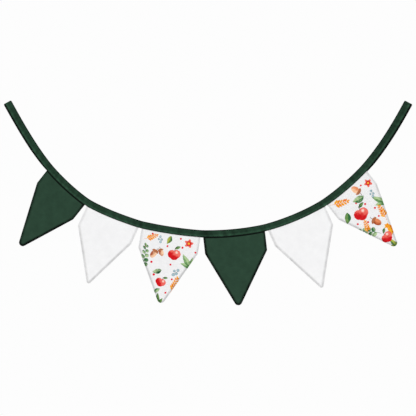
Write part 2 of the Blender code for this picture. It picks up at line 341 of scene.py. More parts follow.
def tapeSection(arc):
    # the strip's middle line through one section: depth, y, the outward way in both, how far each
    # point lies from an edge and from a crease, and how much painted light and shade it gets
    form = tapeForm
    ply = float(plyAt(arc))
    half = float(innerHalf(arc))
    turn = (ply + form["plyGap"]) / 2  # radius of the turned lower edge
    leaf = half + ply + form["plyGap"] + ply / 2
    reach = form["foldReach"]
    leaves = []
    for side in (front, back):
        width = float(leafWidth(arc, side))
        bottom = width - turn - ply / 2
        line = []
        for share in form["turnedInRows"]:
            depth = bottom - form["turnedIn"] * (1.0 - share)
            line.append((depth, side * (half + ply / 2), 0.0, -side, form["far"], 0.0, 0.0))
        for angle in np.linspace(0.0, math.pi, form["turnSteps"] + 1):
            across = half + ply / 2 + turn - turn * math.cos(angle)
            shaded = 0.0 if side == back else form["far"]
            line.append((bottom + turn * math.sin(angle), side * across,
                         math.sin(angle), -side * math.cos(angle), 0.0, shaded, 0.0))
        for height in [up * mm for up in form["leafRows"]] + [bottom - reach]:
            above = height + turn + ply / 2
            lift = tapeRelief(arc, above, side) * smooth((bottom - height - reach) / form["foldEase"])
            line.append((bottom - height, side * (leaf + lift), 0.0, side,
                         min(above, width - above), form["far"], tapePaintedShading(arc, above, side)))
        leaves.append(line)
    fold = []
    rise = reach + form["foldRise"] - ply / 2
    for angle in np.linspace(0.0, math.pi, form["foldSteps"] + 1)[1:-1]:
        toDepth, toY = -math.sin(angle) * leaf, -math.cos(angle) * rise
        size = math.hypot(toDepth, toY)
        fold.append((reach - rise * math.sin(angle), -leaf * math.cos(angle),
                     toDepth / size, toY / size, (1 - math.sin(angle)) * reach, form["far"], 0.0))
    return leaves[0] + fold + leaves[1][::-1]


def makeTape(material):
    count = int(tapeLength / tapeForm["station"])
    stations = list(np.linspace(0.0, tapeLength, count + 1))
    for near in tapeForm["endStations"]:
        stations += [near * mm, tapeLength - near * mm]
    for cut in pennantCuts:
        stations += [cut["start"] * mm - pennantForm["clear"], cut["end"] * mm + pennantForm["clear"]]
    stations.sort()
    points, grain, faces = [], [], []
    marks = {"fromEdge": [], "fromCrease": [], "paintedShading": []}
    for arc in stations:
        section = np.array(tapeSection(arc))
        ply = float(plyAt(arc))
        along = lengthsAlong(section[:, 0], section[:, 1])
        for sign in (1, -1):  # the strip's outer face, then back along its inner one
            place = section[:, :2] + sign * section[:, 2:4] * ply / 2
            depth = roundedEnd(arc, place[:, 0], float(leafWidth(arc, back)))
            flat = swagAt(np.full(len(place), arc), depth)
            order = slice(None) if sign > 0 else slice(None, None, -1)
            points += [(x, y, z) for (x, z), y in zip(flat[order], place[order, 1])]
            grain += [(arc, q) for q in along[order]]
            marks["fromEdge"] += list(section[order, 4])
            marks["fromCrease"] += list(section[order, 5] if sign > 0 else np.zeros(len(place)))
            marks["paintedShading"] += list(section[order, 6])
    marks["rim"] = np.ones(len(points))
    ring = len(points) // len(stations)
    for row in range(len(stations) - 1):
        here, there = row * ring, (row + 1) * ring
        for i in range(ring):
            after = (i + 1) % ring
            faces.append((here + i, here + after, there + after, there + i))
    for row, flipped in ((0, True), (len(stations) - 1, False)):
        base = row * ring
        for i in range(ring // 2 - 1):
            face = (base + i, base + i + 1, base + ring - 2 - i, base + ring - 1 - i)
            faces.append(face[::-1] if flipped else face)
    return buildMesh("bindingTape", points, faces, grain, marks, material)


def tapeFace(arc, depth, side):
    # a point on the tape's outer face
    above = float(leafWidth(arc, side)) - depth
    leaf = float(innerHalf(arc)) + 2 * float(plyAt(arc)) + tapeForm["plyGap"]
    x, z = swagAt(arc, roundedEnd(arc, depth, float(leafWidth(arc, back))))
    return np.array([x, side * (leaf + tapeRelief(arc, above, side)), z])


def stitchPlaces(side):
    # where each stitch goes down into the cloth and comes up again
    pitch, length = stitchForm["pitch"], stitchForm["length"]
    for number in range(int((tapeLength - 2 * stitchForm["endClear"]) / pitch)):
        first = stitchForm["endClear"] + number * pitch
        yield [tapeFace(arc, float(leafWidth(arc, front)) - stitchAbove, side)
               for arc in (first, first + length)]
    for arc in (stitchForm["hemRow"], tapeLength - stitchForm["hemRow"]):
        lowest = float(leafWidth(arc, front)) - stitchAbove
        for number in range(int((lowest - stitchForm["hemClear"]) / pitch)):
            depth = lowest - (number + stitchForm["hemStart"]) * pitch
            yield tapeFace(arc, depth, side), tapeFace(arc, depth - length, side)


def makeStitches(name, side, material):
    points, faces = [], []
    sides = stitchForm["sides"]
    out = np.array([0.0, side, 0.0])
    for first, last in stitchPlaces(side):
        beside = np.cross((last - first) / np.linalg.norm(last - first), out)
        base = len(points)
        for share, sink in stitchForm["sink"]:
            centre = first + (last - first) * share - out * sink * mm
            for i in range(sides):
                angle = 2 * math.pi * i / sides
                offset = (out * math.cos(angle) + beside * math.sin(angle)) * stitchForm["radius"]
                points.append(centre + offset)
        for here in range(base, len(points) - sides, sides):
            there = here + sides
            for i in range(sides):
                after = (i + 1) % sides
                faces.append((here + i, there + i, there + after, here + after))
        faces.append(tuple(range(base, base + sides)))
        faces.append(tuple(reversed(range(len(points) - sides, len(points)))))
    places = np.array(points)
    return buildMesh(name, points, faces, places[:, [0, 2]], {}, material)


def pennantPattern(cut):
    full = cut.get("full", 0.0) * mm
    start, end = cut["start"] * mm - full, cut["end"] * mm + full
    topLeft = swagAt(start, leafWidth(start, back))
    topRight = swagAt(end, leafWidth(end, back))
    chord = topRight - topLeft
    width = np.hypot(*chord)
    along = chord / width
    down = np.array([along[1], -along[0]])
    middle = (topLeft + topRight) / 2

    def off(point, low, aside):
        return point + (down * low + along * aside) * mm

    left = off(topLeft, cut["sides"][0], cut["slant"])
    right = off(topRight, cut["sides"][1], cut["slant"])
    point = off(middle, cut["drop"], cut["lean"])
    toLeft = (left - point) / np.hypot(*(left - point))
    toRight = (right - point) / np.hypot(*(right - point))
    inward = (toLeft + toRight) / np.hypot(*(toLeft + toRight))
    halfAngle = math.acos(float(np.dot(toLeft, inward)))
    centre = point + inward * cut["tip"] * mm / math.sin(halfAngle)
    return {
        "start": start, "end": end, "left": left, "right": right, "along": along, "down": down,
        "middle": middle, "width": width, "inward": inward, "centre": centre,
        "radius": cut["tip"] * mm + full,
        "spread": math.pi / 2 - halfAngle,  # how far round the tip each half of its arc runs
    }


def tipPoint(pattern, angle, sign):
    # on the tip's arc, this far round from its lowest point; sign is 1 for its right half
    lowest, beside = -pattern["inward"], np.array([pattern["inward"][1], -pattern["inward"][0]])
    if np.dot(beside, pattern["along"]) < 0:
        beside = -beside
    away = lowest * math.cos(angle) + beside * sign * math.sin(angle)
    return pattern["centre"] + away * pattern["radius"]


def columnShares(width):
    # cells across one row: fine where the edge rolls over, even in the middle
    form = pennantForm
    angles = np.linspace(0.0, math.pi / 2, form["rimColumns"] + 1)
    fine = np.append(form["rim"] * (1.0 - np.cos(angles)), np.array(form["allowanceColumns"]) * mm)
    fine = fine * min(1.0, width / form["narrow"]) / width
    middle = np.linspace(fine[-1], 1 - fine[-1], form["middleColumns"] + 1)[1:-1]
    return np.concatenate([fine, middle, 1 - fine[::-1]])


def pennantRows(pattern):
    # rows of points from the raw edge in the tape to the tip, and how free each row's cloth is
    form = pennantForm
    rows, free = [], []
    topShares = columnShares(pattern["width"])
    arcs = pattern["start"] + (pattern["end"] - pattern["start"]) * topShares
    lower = swagAt(arcs, leafWidth(arcs, back))
    raw = swagAt(arcs, np.full(len(arcs), form["headerDepth"]))
    for i in range(form["headerRows"] + 1):
        rows.append(raw + (lower - raw) * i / form["headerRows"])
        free.append(0.0)
    shares = columnShares(np.hypot(*(pattern["right"] - pattern["left"])))[:, None]
    shoulder = pattern["left"] + (pattern["right"] - pattern["left"]) * shares
    for i in range(1, form["sideRows"] + 1):
        rows.append(lower + (shoulder - lower) * (i / form["sideRows"]) ** form["sideEase"])
        free.append(1.0)
    tipLeft = tipPoint(pattern, pattern["spread"], -1)
    tipRight = tipPoint(pattern, pattern["spread"], 1)
    edges = []
    for i in range(1, form["taperRows"] + 1):
        share = i / form["taperRows"]
        edges.append((pattern["left"] + (tipLeft - pattern["left"]) * share,
                      pattern["right"] + (tipRight - pattern["right"]) * share))
    for i in range(1, form["tipRows"]):
        angle = pattern["spread"] * (1 - i / form["tipRows"])
        edges.append((tipPoint(pattern, angle, -1), tipPoint(pattern, angle, 1)))
    for first, last in edges:
        shares = columnShares(np.hypot(*(last - first)))[:, None]
        rows.append(first + (last - first) * shares)
        free.append(1.0)
    return rows, free, tipPoint(pattern, 0.0, 1)


def edgeDistance(places, outline):
    nearest = np.full(len(places), 1.0)
    for first, last in zip(outline, outline[1:]):
        way = last - first
        share = np.clip(((places - first) @ way) / (way @ way), 0.0, 1.0)
        nearest = np.minimum(nearest, np.hypot(*(places - first - share[:, None] * way).T))
    return nearest


def hangOut(cut, pattern, place, number):
    # how far free cloth stands from the swag's plane, towards -Y
    form = pennantForm
    low = max(float(np.dot(place - pattern["middle"], pattern["down"])) / (cut["drop"] * mm), 0.0)
    side = float(np.dot(place - pattern["middle"], pattern["along"])) / (pattern["width"] / 2)
    bow = cut["bow"] * (1 - side**2) * float(smooth(low / form["bowDepth"])) * (1 - low)
    swing = cut["swing"] * low**2 + cut["twist"] * side * low
    spot = Vector((place[0], place[1], number * form["rippleApart"])) / form["rippleSize"]
    ripple = noise.noise(spot)
    ripple += form["rippleFinerShare"] * noise.noise(spot * form["rippleFiner"])
    ripple *= form["ripple"] * float(smooth(low / form["rippleDepth"]))
    return (bow + swing) * mm + ripple


def rimShade(cut, pattern, places, below):
    # how deep the nearest of the panel's four edges lies in shade
    leftSide, leftTaper, rightTaper, rightSide = cut["rims"]
    across = (places - pattern["middle"]) @ pattern["along"]
    fromMiddle = across - cut["lean"] * below / cut["drop"]
    toRight = smooth(0.5 + fromMiddle / pennantForm["middleEase"])
    upperLeft, upperRight = (
        smooth(0.5 + (length * mm - below) / pennantForm["shoulderEase"]) for length in cut["sides"]
    )
    left = leftTaper + (leftSide - leftTaper) * upperLeft
    right = rightTaper + (rightSide - rightTaper) * upperRight
    return left + (right - left) * toRight


def cutSize(cut, pattern, outline):
    # the flat cloth that a panel is cut from, with its seam allowance all round
    corners = np.array(outline)
    following = np.roll(corners, -1, axis=0)
    cloth = abs(np.sum(corners[:, 0] * following[:, 1] - following[:, 0] * corners[:, 1])) / 2
    seam = pennantForm["seamCut"]
    return {
        "width": pattern["width"] + 2 * seam,
        "length": cut["drop"] * mm + float(leafWidth(pattern["start"], back)) + seam,
        "area": cloth + seam * float(np.hypot(*np.diff(corners, axis=0).T).sum()),
    }


def makePanel(number, cut, side, material):
    form = pennantForm
    pattern = pennantPattern(cut)
    rows, free, lowest = pennantRows(pattern)
    columns = len(rows[0])
    places = np.concatenate(rows + [lowest[None]])
    freedom = np.concatenate([np.repeat(free, columns), [1.0]])
    outline = [row[0] for row in rows] + [lowest] + [row[-1] for row in rows[::-1]]
    distance = edgeDistance(places, outline)
    below = (places - pattern["middle"]) @ pattern["down"]
    arcs = np.linspace(pattern["start"], pattern["end"], form["mouthSteps"])
    tapeGap = edgeDistance(places, swagAt(arcs, leafWidth(arcs, front))) * freedom
    hang = np.array([hangOut(cut, pattern, place, number) for place in places]) * freedom
    inner = side * form["clear"] / 2 - hang

    filling = form["pressed"] + (1 - form["pressed"]) * smooth(below / form["mouthFill"])
    past = (distance - form["allowance"]) / form["allowanceEase"]
    dip = form["allowanceRise"] * smooth(past) * freedom
    outer = inner + side * (form["panel"] * filling - dip) * rounded(distance / form["rim"])

    flat = np.stack([(places - pattern["middle"]) @ pattern["along"], -below], -1)
    if side == back:
        flat[:, 0] *= -1

    # the outer and the inner face share their points along the sides and at the tip
    count = len(places)
    outerIndex = np.arange(count - 1).reshape(len(rows), columns)
    innerIndex = outerIndex + count
    innerIndex[:, 0], innerIndex[:, -1] = outerIndex[:, 0], outerIndex[:, -1]
    points = [(x, y, z) for (x, z), y in zip(places, outer)]
    points += [(x, y, z) for (x, z), y in zip(places, inner)]
    faces = []
    for grid, flipped in ((outerIndex, side == back), (innerIndex, side == front)):
        for upper, under in zip(grid, grid[1:]):
            for i in range(columns - 1):
                face = (upper[i], under[i], under[i + 1], upper[i + 1])
                faces.append(face[::-1] if flipped else face)
        for i in range(columns - 1):
            face = (grid[-1][i], count - 1, grid[-1][i + 1])
            faces.append(face[::-1] if flipped else face)
    for i in range(columns - 1):
        first, second = outerIndex[0][i:i + 2]
        third, fourth = innerIndex[0][i:i + 2]
        face = tuple(dict.fromkeys((first, second, fourth, third)))
        faces.append(face[::-1] if side == back else face)

    # drop the inner grid's spare edge points
    kept = sorted({index for face in faces for index in face})
    renumbered = {old: new for new, old in enumerate(kept)}
    faces = [tuple(renumbered[index] for index in face) for face in faces]

    def onBoth(values):
        return np.concatenate([values, values])[kept]

    marks = {
        "fromEdge": onBoth(distance),
        "fromCrease": onBoth(tapeGap),
        "paintedShading": np.zeros(len(kept)),
        "rim": onBoth(rimShade(cut, pattern, places, below)),
    }
    name = f"pennant{number}{'Front' if side == front else 'Back'}"
    panel = buildMesh(name, [points[i] for i in kept], faces, onBoth(flat), marks, material)
    return panel, cutSize(cut, pattern, outline)


# Materials. A wire is a value on its way through a node tree, and sums written with wires become
# Math nodes there.

class Wire:
    def __init__(self, tree, socket):
        self.tree = tree
        self.socket = socket

    def __add__(self, other):
        return calc("ADD", self, other)

    def __radd__(self, other):
        return calc("ADD", other, self)

    def __sub__(self, other):
        return calc("SUBTRACT", self, other)

    def __rsub__(self, other):
        return calc("SUBTRACT", other, self)

    def __mul__(self, other):
        return calc("MULTIPLY", self, other)

    def __rmul__(self, other):
        return calc("MULTIPLY", other, self)

    def __truediv__(self, other):
        return calc("DIVIDE", self, other)

    def __rtruediv__(self, other):
        return calc("DIVIDE", other, self)

    def __abs__(self):
        return calc("ABSOLUTE", self)


def feed(socket, value):
    if isinstance(value, Wire):
        value.tree.links.new(value.socket, socket)
    else:
        socket.default_value = value


def wireFrom(tree, kind, inputs=None, output=0, **settings):
    # adds a node and gives the wire that leaves it
    made = tree.nodes.new(kind)
    for key, value in settings.items():
        setattr(made, key, value)
    for key, value in (inputs or {}).items():
        feed(made.inputs[key], value)
    return Wire(tree, made.outputs[output])


def treeOf(*values):
    return next(value.tree for value in values if isinstance(value, Wire))


def calc(operation, *values):
    return wireFrom(treeOf(*values), "ShaderNodeMath", dict(enumerate(values)), operation=operation)


def least(first, *others):
    for other in others:
        first = calc("MINIMUM", first, other)
    return first


def most(first, *others):
    for other in others:
        first = calc("MAXIMUM", first, other)
    return first


def step(value, low, high):
    # 0 below low, 1 above high, and an even S between; low may be the larger one
    inputs = {"Value": value, "From Min": low, "From Max": high}
    return wireFrom(value.tree, "ShaderNodeMapRange", inputs, interpolation_type="SMOOTHSTEP")


def mixColour(factor, first, second, blend="MIX"):
    inputs = {0: factor, 6: first, 7: second}  # the colour sockets of the Mix node
    return wireFrom(treeOf(factor, first, second), "ShaderNodeMix", inputs, 2, data_type="RGBA",
                    blend_type=blend, clamp_factor=True)


def vectorCalc(operation, inputs, output=0):
    return wireFrom(inputs[0].tree, "ShaderNodeVectorMath", inputs, output, operation=operation)


def combine(x, y, z=0.0):
    return wireFrom(x.tree, "ShaderNodeCombineXYZ", {0: x, 1: y, 2: z})


def separate(vector):
    x = wireFrom(vector.tree, "ShaderNodeSeparateXYZ", {0: vector})
    return x, Wire(x.tree, x.socket.node.outputs[1])


def cloudy(vector, scale=1.0, detail=1.0, roughness=0.5):
    inputs = {"Vector": vector, "Scale": scale, "Detail": detail, "Roughness": roughness}
    return wireFrom(vector.tree, "ShaderNodeTexNoise", inputs, "Fac")


def newGroup(name, inputs, outputs):
    tree = bpy.data.node_groups.new(name, "ShaderNodeTree")
    kinds = {"float": "NodeSocketFloat", "colour": "NodeSocketColor", "vector": "NodeSocketVector"}
    for way, sockets in (("INPUT", inputs), ("OUTPUT", outputs)):
        for label, kind in sockets:
            tree.interface.new_socket(label, in_out=way, socket_type=kinds[kind])
    entry = tree.nodes.new("NodeGroupInput")
    given = {label: Wire(tree, entry.outputs[label]) for label, kind in inputs}
    return tree, given, tree.nodes.new("NodeGroupOutput").inputs


def useGroup(tree, group, inputs):
    made = tree.nodes.new("ShaderNodeGroup")
    made.node_tree = group
    for key, value in inputs.items():
        feed(made.inputs[key], value)
    return {socket.name: Wire(tree, socket) for socket in made.outputs}


weaveForm = {
    "pitch": 0.42 * mm,
    "relief": 0.03 * mm,
    "crossing": 0.25,  # how softly one thread passes over the other
    "slubs": (25.0, 900.0),  # uneven thickness of threads, how fine along and across them
    "weaveInThread": 0.35,  # how much of the weave shows in the tone of the threads
}


def plainWeaveGroup():
    # warp and weft threads that pass over each other by turns
    tree, given, made = newGroup(
        "plainWeave",
        (("Vector", "vector"), ("Pitch", "float")),
        (("Height", "float"), ("Thread", "float")),
    )
    x, y = separate(given["Vector"])
    scale = math.pi / given["Pitch"]
    warp = calc("SINE", x * scale)
    weft = calc("SINE", y * scale)
    over = step(warp * weft, -weaveForm["crossing"], weaveForm["crossing"])
    height = abs(warp) * over + abs(weft) * (1.0 - over)
    along, across = weaveForm["slubs"]
    slub = cloudy(combine(x * along, y * across), detail=2.0)
    feed(made["Height"], height)
    feed(made["Thread"], height * weaveForm["weaveInThread"] + slub)
    return tree


# What all the cottons have in common.
toneForm = {
    "threadMean": 0.68,  # of the threads' own value, so that they don't change the colour
    "edgeUneven": 1.4,  # how much the unevenness of the cloth breaks up the shade at an edge
    "lipLight": 0.8,  # how much of that shade the very edge loses
    "creaseFull": 0.45,  # share of a crease's width that lies in full shade
    "darkest": 0.03,
}


def clothToneGroup():
    # uneven dye, threads, painted light and shade from the tape's relief, and turned edges and creases
    # that lie in shade
    tree, given, made = newGroup(
        "clothTone",
        (("Vector", "vector"), ("Colour", "colour"), ("Thread", "float"), ("From Edge", "float"),
         ("From Crease", "float"), ("Mottle Grain", "vector"), ("Mottle", "float"),
         ("Thread Tone", "float"), ("Edge Shade", "float"), ("Edge Full", "float"),
         ("Edge Width", "float"), ("Lip Width", "float"), ("Rim", "float"), ("Painted Shading", "float"),
         ("Painted Shading Tone", "float"), ("Crease Shade", "float"), ("Crease Width", "float")),
        (("Colour", "colour"),),
    )
    grain = vectorCalc("MULTIPLY", {0: given["Vector"], 1: given["Mottle Grain"]})
    uneven = cloudy(grain, detail=3.0, roughness=0.6) - 0.5
    tone = 1.0 + uneven * given["Mottle"]
    tone += (given["Thread"] - toneForm["threadMean"]) * given["Thread Tone"]
    # painted light and shade from the tape's ridges, troughs, puckers and kinks
    tone += given["Painted Shading"] * given["Painted Shading Tone"]
    near = step(given["From Edge"], given["Edge Width"], given["Edge Full"])
    near *= 1.0 - uneven * toneForm["edgeUneven"]
    near *= 1.0 - step(given["From Edge"], given["Lip Width"], 0.0) * toneForm["lipLight"]
    tone -= near * given["Rim"] * given["Edge Shade"]
    full = given["Crease Width"] * toneForm["creaseFull"]
    under = step(given["From Crease"], given["Crease Width"], full)
    tone = most(tone * (1.0 - under * given["Crease Shade"]), toneForm["darkest"])
    feed(made["Colour"], mixColour(1.0, given["Colour"], combine(tone, tone, tone), "MULTIPLY"))
    return tree


# Lengths in metres. Mottle Grain is how fine the unevenness is along and across the cloth. A turned
# edge is fully shaded as far in as Edge Full, and not past Edge Width; its lip catches the light.
clothLooks = {
    # the tape's relief tone sets the strength of its painted light and shade
    "tape": dict(colour=ink(32, 57, 42), roughness=0.88, gloss=0.10, tone={
        "Mottle Grain": (60.0, 160.0, 1.0), "Mottle": 0.35, "Thread Tone": 0.16,
        "Edge Shade": 0.93, "Edge Full": 0.85 * mm, "Edge Width": 2.4 * mm, "Lip Width": 0.01 * mm,
        "Painted Shading Tone": 0.42, "Crease Shade": 0.92, "Crease Width": 1.4 * mm}),
    "green": dict(colour=ink(41, 66, 51), roughness=0.90, gloss=0.10, tone={
        "Mottle Grain": (36.0, 36.0, 1.0), "Mottle": 0.62, "Thread Tone": 0.12,
        "Edge Shade": 0.95, "Edge Full": 2.6 * mm, "Edge Width": 9.5 * mm, "Lip Width": 0.01 * mm,
        "Painted Shading Tone": 0.0, "Crease Shade": 0.97, "Crease Width": 4.0 * mm}),
    "white": dict(colour=(0.884, 0.884, 0.893, 1.0), roughness=0.85, gloss=0.15, tone={
        "Mottle Grain": (36.0, 36.0, 1.0), "Mottle": 0.125, "Thread Tone": 0.04,
        "Edge Shade": 0.30, "Edge Full": 2.8 * mm, "Edge Width": 9.5 * mm, "Lip Width": 2.4 * mm,
        "Painted Shading Tone": 0.0, "Crease Shade": 0.08, "Crease Width": 2.0 * mm}),
    "printed": dict(roughness=0.85, gloss=0.15, tone={
        "Mottle Grain": (36.0, 36.0, 1.0), "Mottle": 0.125, "Thread Tone": 0.04,
        "Edge Shade": 0.38, "Edge Full": 2.0 * mm, "Edge Width": 8.5 * mm, "Lip Width": 2.2 * mm,
        "Painted Shading Tone": 0.0, "Crease Shade": 0.12, "Crease Width": 2.0 * mm}),
}


def newMaterial(name, roughness, gloss=0.5):
    material = bpy.data.materials.new(name)
    material.use_nodes = True
    shader = material.node_tree.nodes["Principled BSDF"].inputs
    shader["Roughness"].default_value = roughness
    shader["Specular IOR Level"].default_value = gloss
    return material, shader


def clothMaterial(name, weave, tone, printGroup=None):
    look = clothLooks[name]
    material, shader = newMaterial(f"{name}Cotton", look["roughness"], look["gloss"])
    tree = material.node_tree
    grain = wireFrom(tree, "ShaderNodeUVMap", uv_map="grain")
    threads = useGroup(tree, weave, {"Vector": grain, "Pitch": weaveForm["pitch"]})
    inputs = {"Vector": grain, "Thread": threads["Thread"]}
    if printGroup:
        inputs["Colour"] = useGroup(tree, printGroup, {"Vector": grain})["Colour"]
    else:
        inputs["Colour"] = look["colour"]
    for label, mark in (("From Edge", "fromEdge"), ("From Crease", "fromCrease"),
                        ("Painted Shading", "paintedShading"), ("Rim", "rim")):
        inputs[label] = wireFrom(tree, "ShaderNodeAttribute", output="Fac", attribute_name=mark)
    toned = useGroup(tree, tone, {**inputs, **look["tone"]})
    feed(shader["Base Color"], toned["Colour"])
    relief = {"Height": threads["Height"], "Distance": weaveForm["relief"], "Strength": 1.0}
    feed(shader["Normal"], wireFrom(tree, "ShaderNodeBump", relief))
    return material


threadLook = dict(dark=ink(28, 52, 38), light=ink(42, 70, 53), twist=1800.0, roughness=0.6, gloss=0.3)


def threadMaterial():
    look = threadLook
    material, shader = newMaterial("greenThread", look["roughness"], look["gloss"])
    grain = wireFrom(material.node_tree, "ShaderNodeUVMap", uv_map="grain")
    twist = cloudy(grain, scale=look["twist"])
    feed(shader["Base Color"], mixColour(twist, look["dark"], look["light"]))
    return material


# The print: plain motifs of our own, scattered over a white ground.

inks = {
    "paper": ink(237, 237, 238),
    "red": ink(206, 14, 24), "coral": ink(242, 116, 104), "rose": ink(240, 34, 62),
    "peach": ink(250, 206, 168), "apricot": ink(232, 140, 92), "cream": ink(252, 240, 226),
    "fern": ink(42, 104, 58), "moss": ink(120, 158, 86), "sage": ink(180, 206, 154),
    "pine": ink(20, 76, 46), "leaf": ink(84, 138, 76), "lime": ink(178, 186, 72),
    "amber": ink(236, 132, 14), "honey": ink(248, 178, 52), "rust": ink(166, 74, 34),
    "bark": ink(104, 70, 46), "slate": ink(82, 114, 130), "mist": ink(166, 196, 204),
}

# Lengths on the cloth are in millimetres here and in the motifs.
paint = {
    "edge": 0.6,  # over which a painted shape's edge softens
    "stalkEdge": 0.4,
    "rimShare": 0.30,  # how much deeper the ink gets along a shape's rim
    "washPull": 1.8,  # how strongly the wash moves the deep ink about
    "washDry": 0.75,  # how much shade a place needs before deep ink shows
    "washScale": 0.13,
    "wobble": 1.1,  # how far the painted outlines stray
    "wobbleScale": 0.17,
    "wobbleAside": (310.0, 170.0, 0.0),  # how far off they take their straying up and down from
}

motifInputs = (
    ("Right", "float"), ("Up", "float"), ("Ground", "colour"), ("Place Right", "float"),
    ("Place Up", "float"), ("Turn", "float"), ("Size", "float"), ("Pale", "colour"),
    ("Deep", "colour"), ("Wash", "float"),
)


def motifGroup(name, draw):
    # draw gets x and y in the motif's own millimetres, and gives its layers as (colour, mask)
    tree, given, made = newGroup(name, motifInputs, (("Colour", "colour"),))
    cos, sin = calc("COSINE", given["Turn"]), calc("SINE", given["Turn"])
    right = given["Right"] - given["Place Right"]
    up = given["Up"] - given["Place Up"]
    x = (right * cos + up * sin) / given["Size"]
    y = (up * cos - right * sin) / given["Size"]
    colour = given["Ground"]
    for layer, mask in draw(x, y, given):
        colour = mixColour(mask, colour, layer)
    feed(made["Colour"], colour)
    return tree


def washed(given, shade, pale=None, deep=None):
    # watercolour: the deep ink gathers where shade and the wash are high
    amount = given["Wash"] * paint["washPull"] + (shade - paint["washDry"])
    return mixColour(step(amount, 0.0, 1.0), pale or given["Pale"], deep or given["Deep"])


def inside(depth, edge=paint["edge"]):
    return step(depth, 0.0, edge)


def shaded(value, start, full, strength):
    return step(value, start, full) * strength


def pooled(depth, reach, strength=paint["rimShare"]):
    # wet ink gathers along the rim of its shape
    return shaded(depth, reach, 0.0, strength)


def square(value):
    return value * value


def slanted(x, y, startX, startY, degrees):
    # the same place seen from a start point and along a slope
    cos, sin = math.cos(math.radians(degrees)), math.sin(math.radians(degrees))
    x = x - startX
    y = y - startY
    return x * cos + y * sin, y * cos - x * sin


def spotDepth(x, y, spots):
    # how deep a point lies inside the nearest of some round spots, each (x, y, radius)
    place = combine(x, y)
    return most(*(radius - vectorCalc("DISTANCE", {0: place, 1: (spotX, spotY, 0)}, "Value")
                  for spotX, spotY, radius in spots))


def ovalDepth(x, y, middle, halfWidth, halfHeight, deepest):
    return (1.0 - square(x / halfWidth) - square((y - middle) / halfHeight)) * deepest


def stalk(colour, across, along, halfWidth, first, last, edge=paint["stalkEdge"]):
    depth = least(halfWidth - abs(across), along - first, last - along)
    return colour, inside(depth, edge)


# The motifs. A shade or shine is given as where it starts, where it is full, and how strong it is, a
# rim as how far in it reaches, with its strength where it isn't the usual one, and a stalk as half its
# width, where it starts and where it ends. lean is how far a stalk goes aside over its length.

leafForm = {
    "single": (30.0, 16.0, 2.0),  # length, width and bend of the leaf that is a motif by itself
    "foot": 1.25,  # how much fuller than even the leaf is at its foot
    "narrowing": 0.5,  # and how much of that it loses by its tip
    "side": (-0.6, 0.6, 0.45),  # shade on one side of the vein
    "rim": (1.6, 0.35),
    "lower": (0.9, 0.40),  # shade towards the foot, in the rim's way, but as a share of the length
    "vein": (0.6, 0.2, 0.6),  # pale
}


def leafLayer(given, along, across, length, width, bend=0.0, pale=None, deep=None):
    # a pointed leaf that grows along its first axis, darker on one side of its vein
    form = leafForm
    share = along / length
    belly = most(share * (1.0 - share), 0.0)
    half = belly * (form["foot"] - form["narrowing"] * share) * (2.0 * width)
    away = across - belly * (4.0 * bend)
    depth = half - abs(away)
    shade = shaded(away, *form["side"])
    shade += pooled(depth, *form["rim"]) + pooled(share, *form["lower"])
    shade -= shaded(abs(away), *form["vein"])
    return washed(given, shade, pale, deep), inside(depth)


def drawLeaf(x, y, given):
    return [leafLayer(given, x, y, *leafForm["single"])]


sprayForm = {
    # broad leaves out of one short stalk: start, slope in degrees, length, width, bend
    "leaves": ((0, 0, 34, 38.0, 13.0, -2.5), (0, -1, -30, 34.0, 12.0, 2.5),
               (5, 0, 2, 46.0, 15.0, 1.5)),
    "stalk": (0.8, -10.0, 10.0),
    "lean": -0.2,
}


def drawSpray(x, y, given):
    form = sprayForm
    layers = []
    for startX, startY, degrees, length, width, bend in form["leaves"]:
        along, across = slanted(x, y, startX, startY, degrees)
        layers.append(leafLayer(given, along, across, length, width, bend))
    return layers + [stalk(given["Deep"], y - x * form["lean"], x, *form["stalk"])]


sprigForm = {
    "curve": 0.0035,  # how much the stem bends
    "shrink": 0.45,  # how much smaller the leaves get towards its tip
    "foot": 8.0,  # stem below the first leaf
    "top": 2.0,  # and above the last one's cell
    "stemHalf": 0.6,
    "stemEdge": 0.35,
    "tipLeaf": (0.7, 0.8),  # the last leaf's length and width, as shares of the others'
    "chances": (2.37, 1.61, 91.7),  # scatter numbers, so that each leaf takes the wash differently
    "chanceShade": 0.6,
    "side": (-0.5, 0.5, 0.30),  # shade on one side of each leaf
    "rim": 1.2,
}


def sprigDraw(pitch, length, width, lean, cells, roundness):
    # a stem with leaves by turns on both sides; a leaf's cell runs along its own slope
    form = sprigForm
    stemLength = pitch * cells
    cos, sin = math.cos(math.radians(lean)), math.sin(math.radians(lean))

    def draw(x, y, given):
        bent = y - square(x) * form["curve"]
        lower = calc("LESS_THAN", bent, 0.0)
        start = x - lower * (pitch / 2) - abs(bent) * (cos / sin)
        cell = calc("FLOOR", start / pitch)
        aside = start - cell * pitch - pitch / 2
        along = aside * cos + abs(bent) / sin
        size = 1.0 - cell * (form["shrink"] / cells)
        share = along / (size * length)
        belly = most(share * (1.0 - share) * 4.0, 0.0)
        # pointed leaves at a roundness of 0, ovals at 1
        half = calc("POWER", belly, 1.0 - roundness / 2) * size * (width / 2)
        away = aside * sin
        depth = half - abs(away)
        present = calc("GREATER_THAN", cell, -0.5) * calc("LESS_THAN", cell, cells - 0.5)
        byCell, bySide, spread = form["chances"]
        chance = calc("FRACT", calc("SINE", cell * byCell + lower * bySide) * spread)
        shade = chance * form["chanceShade"] + shaded(away, *form["side"])
        shade += pooled(depth, form["rim"])
        tipLength, tipWidth = form["tipLeaf"]
        return [
            (washed(given, shade), inside(depth) * present),
            stalk(given["Deep"], bent, x, form["stemHalf"], -form["foot"],
                  stemLength + form["top"], form["stemEdge"]),
            leafLayer(given, x - stemLength, bent, length * tipLength, width * tipWidth),
        ]

    return draw


